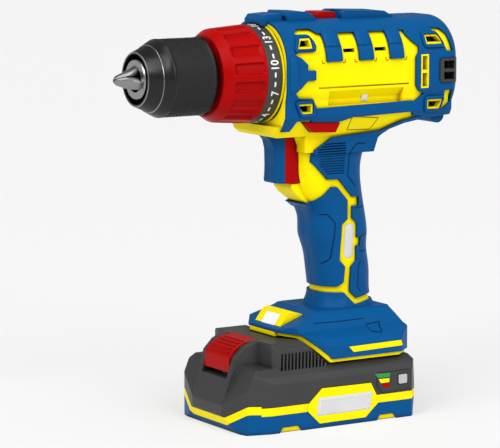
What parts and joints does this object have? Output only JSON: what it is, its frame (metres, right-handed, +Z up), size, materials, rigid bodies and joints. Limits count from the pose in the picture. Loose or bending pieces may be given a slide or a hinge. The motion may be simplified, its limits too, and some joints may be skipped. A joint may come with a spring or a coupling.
{
  "type": "cordless drill driver",
  "caption": "Pistol-grip cordless drill driver with a keyless three-jaw chuck, torque collar, clamshell body, soft overmould and a slide-off battery under the foot.",
  "frame": {"origin": "centre of the battery's flat base, on the surface the tool stands on", "axes": "+X forwards out of the chuck, +Y to the tool's left, +Z up"},
  "size_m": [0.2057, 0.0754, 0.2272],
  "materials": {
    "steel_nose": "satin machined steel",
    "steel_jaw": "ground steel",
    "steel_part": "oiled steel",
    "spring_steel": "drawn wire",
    "chuck_black": "semi-gloss with fine knurl",
    "red_plastic": "fine satin texture",
    "scale_black": "satin with pale numerals",
    "yellow_plastic": "fine satin texture",
    "blue_rubber": "soft matte overmould",
    "grey_plastic": "fine spark texture",
    "black_plastic": "fine spark texture",
    "clear_lens": "frosted",
    "pale_button": "soft matte",
    "copper": "wound copper and commutator",
    "zinc": "zinc plated sheet",
    "cell_wrap": "shrink wrap",
    "board_green": "solder mask",
    "white_plastic": "moulded nylon"
  },
  "bodies": {
    "body": {"housing_left": "yellow_plastic", "housing_right": "yellow_plastic", "armour_left": "blue_rubber", "armour_right": "blue_rubber", "grip_left": "blue_rubber", "grip_right": "blue_rubber", "foot_cover_left": "blue_rubber", "foot_cover_right": "blue_rubber", "vent_frames": "grey_plastic", "housing_screws": "steel_part", "gear_case": "grey_plastic", "fixed_ring_gear": "steel_part", "spindle_bearings": "steel_part", "clutch_pins": "steel_part", "motor_can": "zinc", "motor_end_cap": "black_plastic", "carbon_brushes": "grey_plastic", "switch_module": "black_plastic", "trigger_spring": "spring_steel", "led_housing": "yellow_plastic", "led_lens": "clear_lens", "belt_clip": "grey_plastic", "terminal_block": "black_plastic", "clutch_spring": "spring_steel"},
    "spindle": {"spindle": "steel_part", "chuck_body": "steel_nose", "chuck_screw": "steel_part"},
    "chuck_sleeve": {"chuck_sleeve": "chuck_black", "jaw_nut": "steel_part"},
    "jaw_1": {"jaw_1": "steel_jaw"},
    "jaw_2": {"jaw_2": "steel_jaw"},
    "jaw_3": {"jaw_3": "steel_jaw"},
    "rotor": {"motor_shaft": "steel_part", "armature": "copper", "fan": "white_plastic"},
    "input_carrier": {"input_carrier": "steel_part"},
    "torque_collar": {"torque_collar": "red_plastic", "scale_ring": "scale_black"},
    "clutch_nut": {"clutch_nut": "black_plastic"},
    "speed_selector": {"speed_selector": "red_plastic", "shift_fork": "steel_part", "speed_ring": "steel_part"},
    "trigger": {"trigger_blade": "blue_rubber", "trigger_shoe": "red_plastic"},
    "direction_lever": {"direction_lever": "red_plastic"},
    "battery": {"battery_shell": "grey_plastic", "battery_tray": "blue_rubber", "battery_band": "yellow_plastic", "battery_cells": "cell_wrap", "battery_board": "board_green", "gauge_panel": "grey_plastic", "latch_spring": "spring_steel"},
    "latch_button": {"latch_button": "red_plastic"},
    "gauge_button": {"gauge_button": "pale_button"},
    "output_planet_1": {"output_planet_1": "steel_part"},
    "input_planet_1": {"input_planet_1": "white_plastic"},
    "output_planet_2": {"output_planet_2": "steel_part"},
    "input_planet_2": {"input_planet_2": "white_plastic"},
    "output_planet_3": {"output_planet_3": "steel_part"},
    "input_planet_3": {"input_planet_3": "white_plastic"}
  },
  "joints": [
    {"name": "spindle_spin", "type": "hinge", "parent": "body", "child": "spindle", "pos_m": [0, 0, 0.1935], "axis": [1, 0, 0], "continuous": true},
    {"name": "rotor_spin", "type": "hinge", "parent": "body", "child": "rotor", "pos_m": [0, 0, 0.1935], "axis": [1, 0, 0], "continuous": true},
    {"name": "input_carrier_spin", "type": "hinge", "parent": "body", "child": "input_carrier", "pos_m": [0, 0, 0.1935], "axis": [1, 0, 0], "continuous": true},
    {"name": "output_planet_1_spin", "type": "hinge", "parent": "spindle", "child": "output_planet_1", "pos_m": [0, 0, 0.2043], "axis": [1, 0, 0], "continuous": true},
    {"name": "input_planet_1_spin", "type": "hinge", "parent": "input_carrier", "child": "input_planet_1", "pos_m": [0, 0, 0.2043], "axis": [1, 0, 0], "continuous": true},
    {"name": "output_planet_2_spin", "type": "hinge", "parent": "spindle", "child": "output_planet_2", "pos_m": [0, -0.00935, 0.1881], "axis": [1, 0, 0], "continuous": true},
    {"name": "input_planet_2_spin", "type": "hinge", "parent": "input_carrier", "child": "input_planet_2", "pos_m": [0, -0.00935, 0.1881], "axis": [1, 0, 0], "continuous": true},
    {"name": "output_planet_3_spin", "type": "hinge", "parent": "spindle", "child": "output_planet_3", "pos_m": [0, 0.00935, 0.1881], "axis": [1, 0, 0], "continuous": true},
    {"name": "input_planet_3_spin", "type": "hinge", "parent": "input_carrier", "child": "input_planet_3", "pos_m": [0, 0.00935, 0.1881], "axis": [1, 0, 0], "continuous": true},
    {"name": "sleeve_turn", "type": "hinge", "parent": "spindle", "child": "chuck_sleeve", "pos_m": [0, 0, 0.1935], "axis": [1, 0, 0], "range_deg": [0, 3600]},
    {"name": "jaw_1_slide", "type": "slide", "parent": "spindle", "child": "jaw_1", "axis": [-0.9563, 0, 0.2924], "range_m": [0, 0.021]},
    {"name": "jaw_2_slide", "type": "slide", "parent": "spindle", "child": "jaw_2", "axis": [-0.9563, -0.2532, -0.1462], "range_m": [0, 0.021]},
    {"name": "jaw_3_slide", "type": "slide", "parent": "spindle", "child": "jaw_3", "axis": [-0.9563, 0.2532, -0.1462], "range_m": [0, 0.021]},
    {"name": "collar_turn", "type": "hinge", "parent": "body", "child": "torque_collar", "pos_m": [0, 0, 0.1935], "axis": [1, 0, 0], "range_deg": [-55, 176], "deforming": ["clutch_spring"]},
    {"name": "clutch_nut_slide", "type": "slide", "parent": "body", "child": "clutch_nut", "axis": [1, 0, 0], "range_m": [-0.00125, 0.00385]},
    {"name": "speed_select", "type": "slide", "parent": "body", "child": "speed_selector", "axis": [-1, 0, 0], "range_m": [0, 0.0065]},
    {"name": "trigger_pull", "type": "slide", "parent": "body", "child": "trigger", "axis": [-1, 0, 0], "range_m": [0, 0.007], "stiffness_N_per_m": 700, "springref_m": -0.003, "deforming": ["trigger_spring"]},
    {"name": "direction_slide", "type": "slide", "parent": "body", "child": "direction_lever", "axis": [0, 1, 0], "range_m": [-0.004, 0.004]},
    {"name": "battery_slide", "type": "slide", "parent": "body", "child": "battery", "axis": [1, 0, 0], "range_m": [0, 0.12]},
    {"name": "latch_press", "type": "slide", "parent": "battery", "child": "latch_button", "axis": [0, 0, -1], "range_m": [0, 0.0028], "stiffness_N_per_m": 1500, "springref_m": -0.001, "deforming": ["latch_spring"]},
    {"name": "gauge_press", "type": "slide", "parent": "battery", "child": "gauge_button", "axis": [0, -1, 0], "range_m": [0, 0.0006], "stiffness_N_per_m": 2500, "springref_m": -0.0003}
  ],
  "couplings": [
    {"joint": "rotor_spin", "follows": "spindle_spin", "ratio": 20.25},
    {"joint": "input_carrier_spin", "follows": "spindle_spin", "ratio": 4.5},
    {"joint": "output_planet_1_spin", "follows": "spindle_spin", "ratio": -2.8},
    {"joint": "input_planet_1_spin", "follows": "spindle_spin", "ratio": -12.6},
    {"joint": "output_planet_2_spin", "follows": "spindle_spin", "ratio": -2.8},
    {"joint": "input_planet_2_spin", "follows": "spindle_spin", "ratio": -12.6},
    {"joint": "output_planet_3_spin", "follows": "spindle_spin", "ratio": -2.8},
    {"joint": "input_planet_3_spin", "follows": "spindle_spin", "ratio": -12.6},
    {"joint": "jaw_1_slide", "follows": "sleeve_turn", "m_per_rad": 0.00033419},
    {"joint": "jaw_2_slide", "follows": "sleeve_turn", "m_per_rad": 0.00033419},
    {"joint": "jaw_3_slide", "follows": "sleeve_turn", "m_per_rad": 0.00033419},
    {"joint": "clutch_nut_slide", "follows": "collar_turn", "m_per_rad": 0.00124}
  ]
}
